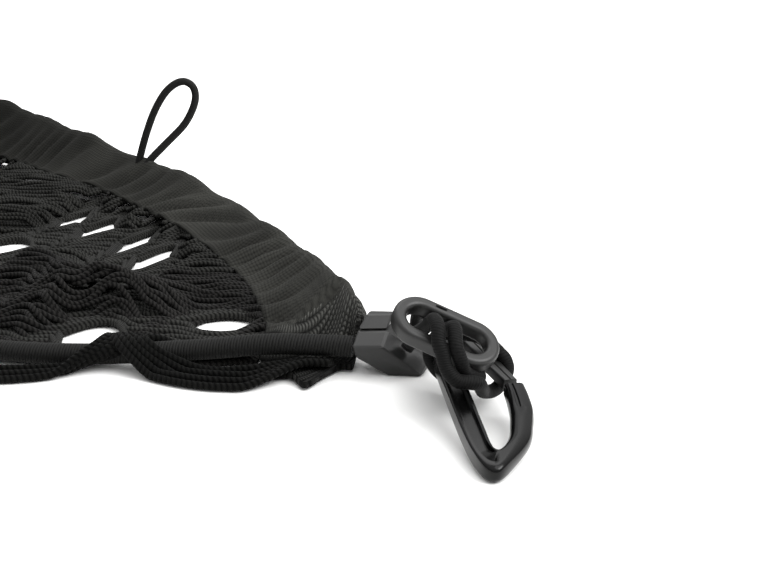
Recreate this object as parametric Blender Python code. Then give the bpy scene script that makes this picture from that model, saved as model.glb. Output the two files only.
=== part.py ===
# Elastic cargo net lying relaxed on a flat surface: one knitted mesh, a ribbed border band along its
# arched side, a bungee along its straight front, two small hanger loops, and at each front corner a
# two-piece cord clamp, an oval ring, a loop of bungee and a snap hook with a sprung gate.
# Metres, +Z up. The straight front runs along X and the arch bows towards +Y.
import math
from collections import namedtuple

import bmesh
import bpy
from mathutils import Vector

mm = 0.001

# ---- driving dimensions ----
clothThickness = 2.2 * mm
bungeeDiameter = 6.0 * mm
loopDiameter = 3.5 * mm
hangerDiameter = 3.4 * mm
centreShift = 130.0 * mm  # from the front's own line to the middle of the finished net
netRows = 14  # cells from the front edge to the band
nearColumns = 17  # narrow cells beside each corner
nearColumnWidth = 8.0 * mm
farColumns = 10  # wide cells in the middle of the net
netEndX = 361.5 * mm
hookThickness = 4.4 * mm
ringThickness = 3.6 * mm

# Border band, one row per section from the clamp to the middle of the arch, in millimetres.
# The edge joins the mesh, the ridge is the rolled top, footZ is where the back of the roll ends
# and sag bends the face between edge and ridge downwards.
BandRow = namedtuple("BandRow", "edgeX edgeY edgeZ ridgeX ridgeY ridgeZ footZ sag")
bandRows = (
    BandRow(392.6, 10.4, 3.2, 392.6, 14.0, 12.6, 4.0, 1.4),
    BandRow(385.5, -8.5, 1.5, 389.0, 19.0, 15.5, 2.0, 3.0),
    BandRow(375.0, -10.0, 1.4, 386.5, 26.0, 18.0, 1.3, 2.6),
    BandRow(366.0, -5.0, 1.4, 384.5, 29.0, 19.0, 1.3, 2.0),
    BandRow(365.0, 8.0, 2.0, 382.5, 31.0, 19.0, 1.1, 1.0),
    BandRow(363.5, 20.0, 4.0, 380.0, 34.0, 19.0, 1.1, 0.5),
    BandRow(356.0, 38.0, 5.0, 373.0, 47.0, 18.0, 1.1, 0.4),
    BandRow(340.0, 68.0, 5.0, 355.0, 78.0, 16.5, 1.1, 0.3),
    BandRow(318.0, 97.0, 6.0, 332.0, 108.0, 16.0, 1.1, 0.3),
    BandRow(290.0, 131.0, 7.0, 303.0, 144.0, 18.0, 1.1, 0.3),
    BandRow(261.0, 157.0, 8.0, 272.5, 171.0, 21.0, 1.1, 0.3),
    BandRow(229.0, 185.0, 9.0, 239.0, 199.0, 23.0, 1.1, 0.3),
    BandRow(189.0, 211.0, 10.0, 198.0, 226.0, 28.0, 1.1, 0.3),
    BandRow(143.0, 243.0, 11.0, 151.0, 258.0, 34.0, 1.1, 0.3),
    BandRow(87.0, 272.0, 12.0, 92.0, 288.0, 37.0, 1.1, 0.3),
    BandRow(0.0, 292.0, 12.0, 0.0, 309.0, 36.0, 1.1, 0.3),
)
bandStepsPerRow = 2
wrinkleDepth = 1.6 * mm  # rise and fall of the soft folds that run across the band

# Front edge of the mesh, millimetres from the front's own line, read from the corner inwards.
FrontPoint = namedtuple("FrontPoint", "x y")
frontPoints = (
    FrontPoint(361.5, -12.5),
    FrontPoint(353.0, -14.0),
    FrontPoint(344.0, -12.0),
    FrontPoint(336.0, -9.5),
    FrontPoint(322.0, -13.0),
    FrontPoint(305.0, -15.5),
    FrontPoint(285.0, -14.0),
    FrontPoint(262.0, -16.0),
    FrontPoint(235.0, -12.5),
    FrontPoint(200.0, -15.0),
    FrontPoint(150.0, -12.5),
    FrontPoint(95.0, -15.5),
    FrontPoint(45.0, -12.5),
    FrontPoint(0.0, -14.5),
)

# Soft hills of the slack mesh, millimetres: centre, half-lengths and height.
Hill = namedtuple("Hill", "x y reachX reachY height")
hills = (
    Hill(302.0, 36.0, 40.0, 32.0, 15.0),
    Hill(338.0, 38.0, 20.0, 24.0, 7.0),
    Hill(262.0, 66.0, 34.0, 34.0, 8.0),
    Hill(232.0, 25.0, 40.0, 24.0, 6.0),
    Hill(205.0, 120.0, 48.0, 44.0, 9.0),
    Hill(150.0, 50.0, 55.0, 40.0, 11.0),
    Hill(88.0, 165.0, 62.0, 60.0, 9.0),
    Hill(40.0, 60.0, 50.0, 42.0, 8.0),
)

# Open meshes, counted in cells from the corner inwards and from the front edge back:
# width is in cells and spread is how far the strands above and below part, in millimetres.
Opening = namedtuple("Opening", "column width row spread")
openings = (
    Opening(1, 2, 1, 2.0),
    Opening(1, 2, 7, 2.8),
    Opening(5, 2, 2, 0.6),
    Opening(7, 2, 10, 0.8),
    Opening(12, 2, 11, 0.4),
    Opening(14, 2, 7, 0.4),
)
farOpenings = tuple(
    Opening(column, 1, row, 0.0)
    for column, rows in ((18, (4, 10)), (20, (2, 7, 12)), (22, (4, 9)), (24, (2, 6, 11)), (26, (4, 9)))
    for row in rows
)

# Routes of the cords, millimetres. The bungee runs from the right clamp to the middle of the front.
bungeeRoute = (
    (393.15, 6.0, 7.8), (386.0, 5.2, 7.9), (370.0, 3.0, 7.8), (349.0, 0.6, 6.6), (320.0, -4.5, 5.8),
    (291.0, -7.5, 5.6), (250.0, -6.2, 5.5), (200.0, -4.0, 5.5), (140.0, -6.5, 5.5), (70.0, -4.5, 5.5),
    (0.0, -6.0, 5.5),
)
# A hanger loop in its own upright plane: across and up from its root on the band.
hangerRoot = (250.5, 192.2, 24.0)
hangerAcross = (0.978, 0.208, 0.0)
hangerRoute = (
    (-4.0, 0.0), (0.5, 13.5), (5.0, 24.5), (9.5, 32.5), (14.0, 37.5), (18.2, 38.6), (21.8, 36.2),
    (23.0, 31.5), (21.6, 25.5), (17.0, 17.0), (10.0, 8.0), (4.6, 0.8),
)
# The hook's loop: over and through the ring, round the heel of the hook, beside itself up to the ring
# again and back to the clamp.
loopRoute = (
    (408.4, 6.6, 8.1), (409.6, 6.0, 10.0), (412.0, -1.3, 15.2), (416.3, -9.5, 20.2), (419.4, -15.6, 24.5),
    (420.8, -18.6, 25.0), (421.8, -21.4, 24.0), (422.3, -23.4, 21.2), (423.4, -24.0, 18.6), (424.6, -24.6, 15.1),
    (427.2, -24.6, 12.3), (430.5, -23.1, 11.5), (432.1, -20.3, 8.9), (432.4, -16.2, 6.0), (433.1, -12.3, 4.2),
    (434.6, -8.4, 3.9), (436.3, -5.4, 5.2), (437.7, -3.8, 8.0), (437.5, -3.3, 10.6), (436.4, -2.9, 12.0),
    (431.4, -1.0, 14.7), (427.5, 0.3, 15.6), (420.0, -0.3, 15.8), (416.9, -1.8, 14.8), (415.0, -2.8, 12.4),
    (414.8, -3.4, 9.8), (416.2, -4.0, 7.4), (418.9, -4.8, 5.8), (422.3, -5.9, 5.2), (426.7, -9.0, 5.7),
    (429.5, -11.1, 7.9), (430.6, -13.8, 10.1), (430.2, -17.2, 11.3), (428.4, -20.4, 13.2), (427.7, -22.6, 16.8),
    (426.5, -22.6, 20.4), (425.5, -18.8, 23.5), (424.3, -15.6, 22.8), (421.0, -8.4, 19.2), (419.0, -4.0, 19.5),
    (414.5, 4.0, 17.4), (410.0, 12.4, 10.8), (408.4, 13.2, 8.1),
)

# Clamp corners, millimetres from the corner point at X 400.
clampBase = (
    (-6.3, 2.4, 9.0), (-6.0, 2.9, 7.0), (-5.4, 5.4, 4.6), (-5.4, 15.0, 4.6), (-5.4, 15.0, 12.0), (-5.6, 7.2, 12.0),
    (2.0, 4.1, 9.0), (2.4, 8.9, 12.0), (2.4, 16.0, 12.0), (1.6, 4.1, 7.2),
    (3.0, 6.0, 0.0), (3.0, 16.0, 0.0), (12.6, 6.9, 0.0), (13.4, 16.0, 0.0),
    (11.8, 6.3, 1.2), (14.4, 11.8, 3.2), (14.4, 16.0, 3.2),
)
clampCap = (
    (-5.6, 7.3, 12.35), (-5.4, 15.0, 12.35), (2.4, 9.4, 12.35), (2.4, 16.0, 12.35),
    (-4.0, 12.0, 15.5), (2.9, 13.8, 15.5), (-4.0, 15.6, 15.5), (2.9, 16.6, 15.5),
)
cornerX = 400.0

# Oval ring: middle, long direction and cross direction.
ringMiddle = (422.9, -13.8, 21.4)
ringAlong = (0.915, 0.071, -0.392)
ringAcross = (0.069, 0.936, 0.331)
ringLength = 30.0 * mm
ringWidth = 14.5 * mm
ringBar = 3.6 * mm

# Snap hook: heel of its spine, direction down the spine and direction from spine to gate.
hookHeel = (418.5, -6.0, 10.2)
hookTip = (438.0, -55.9, 1.9)
hookSide = (446.6, -31.0, 4.7)
# Hook in its own plane, millimetres: outer outline and inner outline, each as the distance down the
# spine and the distance towards the gate side.
HookRow = namedtuple("HookRow", "outerDown outerSide innerDown innerSide")
hookRows = (
    HookRow(-12.2, 11.6, -9.0, 8.8),
    HookRow(-15.2, 7.4, -11.0, 7.0),
    HookRow(-12.6, 2.0, -9.6, 5.6),
    HookRow(-5.2, 0.3, -4.6, 4.9),
    HookRow(8.0, 0.1, 8.0, 4.9),
    HookRow(22.0, 0.0, 22.0, 4.8),
    HookRow(36.0, -0.2, 36.0, 4.6),
    HookRow(45.0, -0.1, 43.6, 4.5),
    HookRow(51.4, 1.0, 46.6, 5.2),
    HookRow(53.0, 4.0, 46.6, 6.4),
    HookRow(48.4, 8.4, 43.8, 8.0),
    HookRow(41.4, 13.8, 38.6, 10.0),
    HookRow(35.0, 16.8, 33.0, 11.6),
    HookRow(29.0, 18.7, 27.4, 13.0),
    HookRow(22.0, 19.9, 21.4, 13.9),
    HookRow(17.2, 20.6, 16.8, 14.3),
)
gateRows = (
    HookRow(-8.8, 13.2, -7.6, 9.2),
    HookRow(0.0, 15.3, 0.8, 11.2),
    HookRow(14.0, 18.4, 14.6, 14.8),
)
gateThickness = 3.2 * mm


def makeMaterial(name, colour, roughness):
    material = bpy.data.materials.new(name)
    material.use_nodes = True
    shader = material.node_tree.nodes["Principled BSDF"]
    shader.inputs["Base Color"].default_value = (*colour, 1.0)
    shader.inputs["Roughness"].default_value = roughness
    shader.inputs["Metallic"].default_value = 0.0
    return material


def place(point):
    """A point given in millimetres from the front's own line, in the finished frame."""
    x, y, z = point
    return Vector((x * mm, y * mm - centreShift, z * mm))


def mirrored(points):
    return [Vector((-p.x, p.y, p.z)) for p in points]


def smoothCurve(points, steps):
    """Points on a smooth curve that passes through each given point, with steps pieces between two."""
    ends = [2 * points[0] - points[1], *points, 2 * points[-1] - points[-2]]
    curve = []
    for before, start, end, after in zip(ends, ends[1:], ends[2:], ends[3:]):
        for step in range(steps):
            t = step / steps
            curve.append(
                start
                + (end - before) * (t / 2)
                + (2 * before - 5 * start + 4 * end - after) * (t * t / 2)
                + (3 * start - before - 3 * end + after) * (t ** 3 / 2)
            )
    return [*curve, points[-1]]


def finishMesh(name, mesh, material, smoothAngle=35.0):
    mesh.materials.append(material)
    mesh.shade_smooth()
    mesh.set_sharp_from_angle(angle=math.radians(smoothAngle))
    part = bpy.data.objects.new(name, mesh)
    bpy.context.scene.collection.objects.link(part)
    return part


def meshFrom(name, points, faces):
    shape = bmesh.new()
    corners = [shape.verts.new(point) for point in points]
    for face in faces:
        shape.faces.new([corners[index] for index in face])
    bmesh.ops.recalc_face_normals(shape, faces=shape.faces)
    mesh = bpy.data.meshes.new(name)
    shape.to_mesh(mesh)
    shape.free()
    return mesh


def makeSheet(name, grid, closed, material):
    """A sheet of cloth through a grid of points, one list of points per column, open at left-out cells."""
    rows = len(grid[0])
    points = [point for column in grid for point in column]
    used = {}
    faces = []
    for c in range(len(grid) - 1):
        for r in range(rows - 1):
            if (c, r) in closed:
                continue
            corners = (c * rows + r, (c + 1) * rows + r, (c + 1) * rows + r + 1, c * rows + r + 1)
            faces.append([used.setdefault(corner, len(used)) for corner in corners])
    kept = sorted(used, key=used.get)
    mesh = meshFrom(name, [points[index] for index in kept], faces)
    sheet = finishMesh(name, mesh, material)
    solidify = sheet.modifiers.new("Thickness", "SOLIDIFY")
    solidify.thickness = clothThickness
    solidify.offset = 0.0
    return sheet


def makeBar(name, stations, thickness, material, closed=False, chamfer=0.28):
    """A moulded bar: each station is its middle, its cross direction, its normal and its width."""
    half = thickness / 2
    points = []
    for middle, across, normal, width in stations:
        edge = width / 2
        cut = chamfer * min(edge, half) * 2
        section = (
            (edge - cut, half), (edge, half - cut), (edge, cut - half), (edge - cut, -half),
            (cut - edge, -half), (-edge, cut - half), (-edge, half - cut), (cut - edge, half),
        )
        points += [middle + across * a + normal * b for a, b in section]
    sides = 8
    count = len(stations)
    faces = []
    for s in range(count if closed else count - 1):
        for k in range(sides):
            a, b = s * sides + k, s * sides + (k + 1) % sides
            c, d = (s + 1) % count * sides + (k + 1) % sides, (s + 1) % count * sides + k
            faces.append((a, b, c, d))
    if not closed:
        faces.append(range(sides))
        faces.append(range((count - 1) * sides, count * sides))
    return finishMesh(name, meshFrom(name, points, faces), material, 50.0)


def makeBlock(name, corners, material, bevel):
    """A moulded block whose outer form is given by its corners."""
    shape = bmesh.new()
    for corner in corners:
        shape.verts.new(corner)
    bmesh.ops.convex_hull(shape, input=shape.verts)
    bmesh.ops.dissolve_limit(shape, angle_limit=math.radians(2.0), verts=shape.verts, edges=shape.edges)
    bmesh.ops.recalc_face_normals(shape, faces=shape.faces)
    mesh = bpy.data.meshes.new(name)
    shape.to_mesh(mesh)
    shape.free()
    block = finishMesh(name, mesh, material)
    rounding = block.modifiers.new("Rounding", "BEVEL")
    rounding.width = bevel
    rounding.segments = 1
    return block


def makeCord(name, route, diameter, material, resolution=2):
    curve = bpy.data.curves.new(name, "CURVE")
    curve.dimensions = "3D"
    curve.bevel_depth = diameter / 2
    curve.bevel_resolution = resolution
    curve.use_fill_caps = True
    spline = curve.splines.new("POLY")
    spline.points.add(len(route) - 1)
    for point, position in zip(spline.points, route):
        point.co = (*position, 1.0)
    curve.materials.append(material)
    cord = bpy.data.objects.new(name, curve)
    bpy.context.scene.collection.objects.link(cord)
    return cord


def bandStations():
    """Sections of the right half of the band, each (edge, ridge, footZ, sag, distance along)."""
    edges = smoothCurve([place((row.edgeX, row.edgeY, row.edgeZ)) for row in bandRows], bandStepsPerRow)
    ridges = smoothCurve([place((row.ridgeX, row.ridgeY, row.ridgeZ)) for row in bandRows], bandStepsPerRow)
    rest = smoothCurve([Vector((row.footZ * mm, row.sag, 0.0)) for row in bandRows], bandStepsPerRow)
    along = 0.0
    stations = []
    for index, (edge, ridge, other) in enumerate(zip(edges, ridges, rest)):
        if index:
            along += (ridge - ridges[index - 1]).length
        stations.append((edge, ridge, other.x, max(other.y, 0.0), along))
    return stations


def bandSection(edge, ridge, footZ, sag, along):
    """Points across the band, from the mesh over the ridge to the surface behind it."""
    outward = Vector((ridge.x - edge.x, ridge.y - edge.y, 0.0)).normalized()
    fade = min(1.0, max(0.0, (along - 30 * mm) / (60 * mm)))
    wave = math.sin(along / (9.5 * mm)) * math.cos(along / (31.0 * mm) + 0.6) * wrinkleDepth * fade
    rise = ridge.z - edge.z
    section = []
    for t in (0.0, 0.36, 0.7):
        level = t ** (1.0 + sag)
        point = edge.lerp(ridge, t)
        point.z = edge.z + rise * level + wave * t
        section.append(point)
    top = ridge + Vector((0.0, 0.0, wave))
    back = 3.4 * mm
    section += [
        top,
        top + outward * back - Vector((0.0, 0.0, 2.6 * mm)),
        top + outward * (back + 1.6 * mm) - Vector((0.0, 0.0, (top.z - footZ) * 0.5)),
    ]
    foot = top + outward * back
    section.append(Vector((foot.x, foot.y, footZ)))
    return section


def makeBand(material):
    right = [bandSection(*station) for station in bandStations()]
    grid = right + [mirrored(section) for section in reversed(right[:-1])]
    return makeSheet("border_band", grid, set(), material)


def readTable(x, table):
    """Straight reading between rows whose first value falls from the corner to the middle."""
    for high, low in zip(table, table[1:]):
        if x >= low[0]:
            t = min(1.0, (x - low[0]) / (high[0] - low[0]))
            return [b + (a - b) * t for a, b in zip(high, low)][1:]
    return table[-1][1:]


def netPoint(x, share, spread):
    """A point of the mesh's middle surface at x, share of the way from its front to the band, in mm."""
    edgeY, edgeZ = readTable(x, bandEdgeTable)
    frontY, = readTable(x, frontPoints)
    seam = 1.9
    y = frontY + (edgeY - seam - frontY) * share + spread
    base = clothThickness / mm / 2
    z = base + (edgeZ - base) * share ** 3
    inside = min(1.0, max(0.0, (y - 3.0) / 14.0))
    for hill in hills:
        reach = math.hypot((x - hill.x) / hill.reachX, (y - hill.y) / hill.reachY)
        if reach < 1.0:
            z += hill.height * math.cos(reach * math.pi / 2) ** 2 * inside * (1.0 - share ** 4)
    return place((x, y, z))


def makeNet(material):
    near = [netEndX / mm - nearColumnWidth / mm * c for c in range(nearColumns + 1)]
    far = [near[-1] * (1 - c / farColumns) for c in range(1, farColumns + 1)]
    columns = near + far
    spreads = {}
    closed = set()
    last = 2 * (len(columns) - 1)
    for opening in openings + farOpenings:
        for c in range(opening.column, opening.column + opening.width):
            closed.add((c, opening.row))
            closed.add((last - 1 - c, opening.row))
        for c in range(opening.column + 1, opening.column + opening.width):
            spreads[c, opening.row] = -opening.spread
            spreads[c, opening.row + 1] = opening.spread
    right = [
        [netPoint(x, r / netRows, spreads.get((c, r), 0.0)) for r in range(netRows + 1)]
        for c, x in enumerate(columns)
    ]
    grid = right + [mirrored(column) for column in reversed(right[:-1])]
    return makeSheet("net_mesh", grid, closed, material)


def makeBungee(material):
    right = smoothCurve([place(point) for point in bungeeRoute], 4)
    return makeCord("front_bungee", right + mirrored(reversed(right[:-1])), bungeeDiameter, material)


def hangerPath():
    across = Vector(hangerAcross)
    root = place(hangerRoot)
    turns = [root + across * (a * mm) + Vector((0.0, 0.0, b * mm)) for a, b in hangerRoute]
    return smoothCurve(turns, 2)


def hookFrame():
    """Heel, direction down the spine, direction to the gate side and normal of the hook's plane."""
    heel = place(hookHeel)
    down = (place(hookTip) - heel).normalized()
    side = place(hookSide) - heel
    side = (side - down * side.dot(down)).normalized()
    return heel, down, side, down.cross(side).normalized()


def hookStations(rows, steps):
    heel, down, side, normal = hookFrame()
    outer = smoothCurve([heel + (down * row.outerDown + side * row.outerSide) * mm for row in rows], steps)
    inner = smoothCurve([heel + (down * row.innerDown + side * row.innerSide) * mm for row in rows], steps)
    return [((a + b) / 2, (a - b).normalized(), normal, (a - b).length) for a, b in zip(outer, inner)]


def ringStations():
    """Stations round an oval with two straight sides and two round ends."""
    along, across = Vector(ringAlong).normalized(), Vector(ringAcross).normalized()
    across = (across - along * across.dot(along)).normalized()
    normal = along.cross(across).normalized()
    radius = (ringWidth - ringBar) / 2
    straight = ringLength / 2 - ringWidth / 2
    stations = []
    for end in (1, -1):
        for step in range(9):
            angle = math.radians(-90 + 22.5 * step)
            outward = (along * math.cos(angle) + across * math.sin(angle)) * end
            stations.append((place(ringMiddle) + along * straight * end + outward * radius, outward, normal, ringBar))
    return stations


def flip(stations):
    turned = []
    for middle, across, normal, width in stations:
        turned.append((*mirrored([middle, across, normal]), width))
    return turned


def makeHardware(side, flipped, satin, gloss, cordMaterial):
    """The pieces at one front corner; flipped makes the left ones."""
    turn = mirrored if flipped else list
    turnStations = flip if flipped else list
    base = [place((cornerX + x, y, z)) for x, y, z in clampBase]
    cap = [place((cornerX + x, y, z)) for x, y, z in clampCap]
    makeBlock("clamp_base_" + side, turn(base), satin, 0.45 * mm)
    makeBlock("clamp_cap_" + side, turn(cap), satin, 0.45 * mm)
    makeBar("oval_ring_" + side, turnStations(ringStations()), ringThickness, satin, closed=True)
    makeBar("hook_body_" + side, turnStations(hookStations(hookRows, 2)), hookThickness, gloss)
    loop = smoothCurve([place(point) for point in loopRoute], 2)
    makeCord("hook_loop_" + side, turn(loop), loopDiameter, cordMaterial)
    makeCord("hanger_loop_" + side, turn(hangerPath()), hangerDiameter, cordMaterial)
    # The gate is modelled about its hinge, which is where its object stands.
    stations = hookStations(gateRows, 3)
    hinge = stations[0][0]
    stations = [(middle - hinge, across, normal, width) for middle, across, normal, width in stations]
    gate = makeBar("hook_gate_" + side, turnStations(stations), gateThickness, satin)
    gate.location = turn([hinge])[0]


for old in list(bpy.data.objects):
    bpy.data.objects.remove(old)

knit = makeMaterial("Black elastic knit", (0.012, 0.012, 0.011), 0.92)
ribbed = makeMaterial("Black ribbed elastic band", (0.016, 0.016, 0.015), 0.9)
braid = makeMaterial("Black braided bungee", (0.014, 0.014, 0.013), 0.8)
satinPlastic = makeMaterial("Satin black nylon", (0.035, 0.035, 0.035), 0.45)
glossPlastic = makeMaterial("Polished black acetal", (0.03, 0.03, 0.03), 0.3)

bandEdgeTable = [(row.edgeX, row.edgeY, row.edgeZ) for row in bandRows[5:]]
makeNet(knit)
makeBand(ribbed)
makeBungee(braid)
makeHardware("right", False, satinPlastic, glossPlastic, braid)
makeHardware("left", True, satinPlastic, glossPlastic, braid)
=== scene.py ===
# Elastic cargo net for a vehicle's boot, lying slack on a pale studio floor.
# Metres and +Z up. The straight front of the net runs along X and its arch bows towards +Y.
import math

import bmesh
import bpy
import numpy as np
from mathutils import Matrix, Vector
from mathutils.bvhtree import BVHTree


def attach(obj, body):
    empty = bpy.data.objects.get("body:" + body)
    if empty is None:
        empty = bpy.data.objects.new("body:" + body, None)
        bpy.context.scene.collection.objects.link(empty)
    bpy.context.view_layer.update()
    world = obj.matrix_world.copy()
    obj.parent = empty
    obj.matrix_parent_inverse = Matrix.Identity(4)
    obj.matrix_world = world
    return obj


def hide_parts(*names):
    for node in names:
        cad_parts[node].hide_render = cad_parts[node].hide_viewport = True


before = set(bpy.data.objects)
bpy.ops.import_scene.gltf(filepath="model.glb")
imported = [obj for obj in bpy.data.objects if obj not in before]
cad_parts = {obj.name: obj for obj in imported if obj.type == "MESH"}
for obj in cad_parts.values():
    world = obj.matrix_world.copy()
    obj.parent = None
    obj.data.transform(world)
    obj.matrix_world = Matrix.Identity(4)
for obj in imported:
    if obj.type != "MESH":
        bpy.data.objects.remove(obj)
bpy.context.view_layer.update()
mm = 0.001
frontShift = -0.130  # the front's own line in the finished frame
scene = bpy.context.scene


# Small helpers

def linearColour(hexColour):  # from screen values to linear light, by the sRGB curve
    values = [int(hexColour[start:start + 2], 16) / 255 for start in (1, 3, 5)]
    return (*(v / 12.92 if v <= 0.04045 else ((v + 0.055) / 1.055) ** 2.4 for v in values), 1.0)


# Adds a node. Each input is a value or another node's output, and what comes back is an output.
def addNode(owner, kind, inputs=(), output=0, **settings):
    tree = owner.node_tree
    node = tree.nodes.new("ShaderNode" + kind)
    for name, value in settings.items():
        setattr(node, name, value)
    for name, value in (inputs.items() if isinstance(inputs, dict) else enumerate(inputs)):
        if isinstance(value, bpy.types.NodeSocket):
            tree.links.new(value, node.inputs[name])
        else:
            node.inputs[name].default_value = value
    return node.outputs[output]


def addObject(name, data):
    made = bpy.data.objects.new(name, data)
    scene.collection.objects.link(made)
    return made


def placed(point):  # millimetres from the front's line to metres in the finished frame
    x, y, z = point
    return np.array((x * mm, y * mm + frontShift, z * mm))


def smoothRoute(points, steps):  # an even curve through all the points
    points = np.asarray(points, float)
    ends = np.vstack([2 * points[0] - points[1], points, 2 * points[-1] - points[-2]])
    t = (np.arange(steps) / steps)[:, None]
    rows = []
    for before, start, end, after in zip(ends, ends[1:], ends[2:], ends[3:]):
        rows.append(start + (end - before) * (t / 2)
                    + (2 * before - 5 * start + 4 * end - after) * (t * t / 2)
                    + (3 * start - before - 3 * end + after) * (t ** 3 / 2))
    return np.vstack(rows + [points[-1:]])


def halfRoute(points, steps):  # the last point is on the middle line, which the route crosses square
    across = np.array(points[-2]) * (-1, 1, 1)
    return smoothRoute(np.vstack([points, across]), steps)[:-steps]


def lengthsAlong(route):  # how far along it each point lies
    return np.concatenate([[0], np.cumsum(np.linalg.norm(np.diff(route, axis=0), axis=1))])


def evenly(route, gap):  # the same route in equal steps of about the gap
    lengths = lengthsAlong(route)
    count = max(2, int(round(lengths[-1] / gap)))
    at = np.linspace(0, lengths[-1], count + 1)
    return np.stack([np.interp(at, lengths, route[:, k]) for k in range(3)], axis=1), at


def turnedFrames(route):  # two directions square to the route that don't twist round it
    tangents = np.gradient(route, axis=0)
    tangents /= np.linalg.norm(tangents, axis=1)[:, None]
    side = np.cross(tangents[0], (0.0, 0.0, 1.0))
    if np.linalg.norm(side) < 0.1:  # the route starts nearly upright
        side = np.cross(tangents[0], (0.0, 1.0, 0.0))
    sides = []
    for tangent in tangents:
        side = side - tangent * side.dot(tangent)
        side = side / np.linalg.norm(side)
        sides.append(side)
    sides = np.array(sides)
    return sides, np.cross(tangents, sides)


# One tube round a route: points, four-sided faces, UV in millimetres along and turns round, and
# the number of rings. A swell widens the tube stitch by stitch.
def tubeParts(route, along, sides, ups, radius, count, swell=None):
    turn = np.arange(count) / count
    angle = turn * 2 * math.pi
    reach = np.ones((len(route), count))
    if swell is not None:
        reach = swell(along[:, None], turn)
    points = (route[:, None, :] + sides[:, None, :] * (np.cos(angle) * radius * reach)[:, :, None]
              + ups[:, None, :] * (np.sin(angle) * radius * reach)[:, :, None])
    rings = len(route)
    first, corner = np.arange(rings - 1)[:, None] * count, np.arange(count)
    a, b = first + corner, first + (corner + 1) % count
    quads = np.stack([a, b, b + count, a + count], axis=2).reshape(-1, 4)
    u0 = np.repeat(along[:-1, None] / mm, count, axis=1)
    u1 = np.repeat(along[1:, None] / mm, count, axis=1)
    v0 = np.tile(turn, (rings - 1, 1))
    v1 = v0 + 1 / count
    uv = np.stack([np.stack(corner, 2) for corner in ((u0, v0), (u0, v1), (u1, v1), (u1, v0))], axis=2)
    return points.reshape(-1, 3), quads, uv.reshape(-1, 2), rings


# Several tubes as one piece, each closed at both ends. Edges sharper than the angle stay crisp.
def joinTubes(name, tubes, material, sharpFrom=50.0):
    points, quads, uvs, caps = [], [], [], []
    start = 0
    for tubePoints, tubeQuads, tubeUv, rings in tubes:
        count = len(tubePoints) // rings
        points.append(tubePoints)
        quads.append(tubeQuads + start)
        uvs.append(tubeUv)
        caps.append(list(range(start + count - 1, start - 1, -1)))
        last = start + (rings - 1) * count
        caps.append(list(range(last, last + count)))
        start += len(tubePoints)
    faces = np.concatenate(quads).tolist() + caps
    mesh = bpy.data.meshes.new(name)
    mesh.from_pydata(np.concatenate(points).tolist(), [], faces)
    layer = mesh.uv_layers.new(name="UVMap")
    flat = np.concatenate(uvs)
    rest = sum(len(cap) for cap in caps)
    layer.data.foreach_set("uv", np.concatenate([flat, np.zeros((rest, 2))]).ravel())
    mesh.materials.append(material)
    mesh.shade_smooth()
    mesh.set_sharp_from_angle(angle=math.radians(sharpFrom))
    mesh.update()
    return addObject(name, mesh)


def ridesOn(piece, node):
    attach(piece, "net")
    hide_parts(node)


# Camera

camera = {"place": (0.4625, -0.3999, 0.111), "down": 17.1, "turned": 12.0, "lens": 49.98, "film": 36.0,
          "nearest": 0.01}


def makeCamera():
    down, turned = math.radians(camera["down"]), math.radians(camera["turned"])
    look = Vector((-math.sin(turned) * math.cos(down), math.cos(turned) * math.cos(down), -math.sin(down)))
    eye = addObject("camera", bpy.data.cameras.new("camera"))
    eye.location = camera["place"]
    eye.rotation_euler = look.to_track_quat("-Z", "Y").to_euler()
    eye.data.lens = camera["lens"]
    eye.data.sensor_width = camera["film"]
    eye.data.clip_start = camera["nearest"]
    scene.camera = eye


makeCamera()
print("camera made")


# Materials. Lengths of patterns are millimetres. "roughness" is usual for the material, and "rough" is
# what it comes to in the grooves and on the crowns. "fuzz" and "worn" are a mottling's scale, detail
# and share. Real fibres and moulded grain are finer: they are drawn as coarse as they need to show.

allPlastics = {"IOR": 1.5, "Metallic": 0.0}  # polyester, nylon and acetal all lie near this


def newMaterial(name, look):
    material = bpy.data.materials.new(name)
    material.use_nodes = True
    sheen, sheenRoughness = look.get("sheen", (0.0, 0.5))
    values = {**allPlastics, "Roughness": look["roughness"], "Sheen Weight": sheen,
              "Sheen Roughness": sheenRoughness, "Specular IOR Level": look["gleam"]}
    for socket, value in values.items():
        material.node_tree.nodes["Principled BSDF"].inputs[socket].default_value = value
    return material


def uvParts(material):  # millimetres along the piece, and the way round or across it
    parts = addNode(material, "SeparateXYZ", (addNode(material, "UVMap", uv_map="UVMap"),))
    return parts, parts.node.outputs[1]


def wave(material, source, period, power=1.0):  # rounded ridges, one to a period
    scaled = addNode(material, "Math", (source, math.pi / period), operation="MULTIPLY")
    curve = addNode(material, "Math", (scaled,), operation="SINE")
    size = addNode(material, "Math", (curve,), operation="ABSOLUTE")
    return size if power == 1.0 else addNode(material, "Math", (size, power), operation="POWER")


def mottling(material, scale, detail):  # irregular specks or clouds that stay fixed to the piece
    place = addNode(material, "TexCoord", output="Object")
    return addNode(material, "TexNoise", {"Vector": place, "Scale": scale, "Detail": detail})


def withFuzz(material, height, fuzz):  # loose fibres over the stitches
    scale, detail, share = fuzz
    fibres = addNode(material, "Math", (mottling(material, scale, detail), share), operation="MULTIPLY")
    return addNode(material, "Math", (height, fibres), operation="ADD")


def withWear(material, tone, worn):  # soft patches that handling leaves lighter or darker
    scale, detail, least = worn
    patches = addNode(material, "Math", (mottling(material, scale, detail), least), operation="ADD")
    return addNode(material, "Math", (tone, patches), operation="MULTIPLY")


def fadeAlong(owner, axis, fade, space="Object"):  # from one value to another between two places
    parts = addNode(owner, "SeparateXYZ", (addNode(owner, "TexCoord", output=space),))
    start, end, first, last = fade
    return addNode(owner, "MapRange", {0: parts.node.outputs[axis], 1: start, 2: end, 3: first, 4: last})


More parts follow.
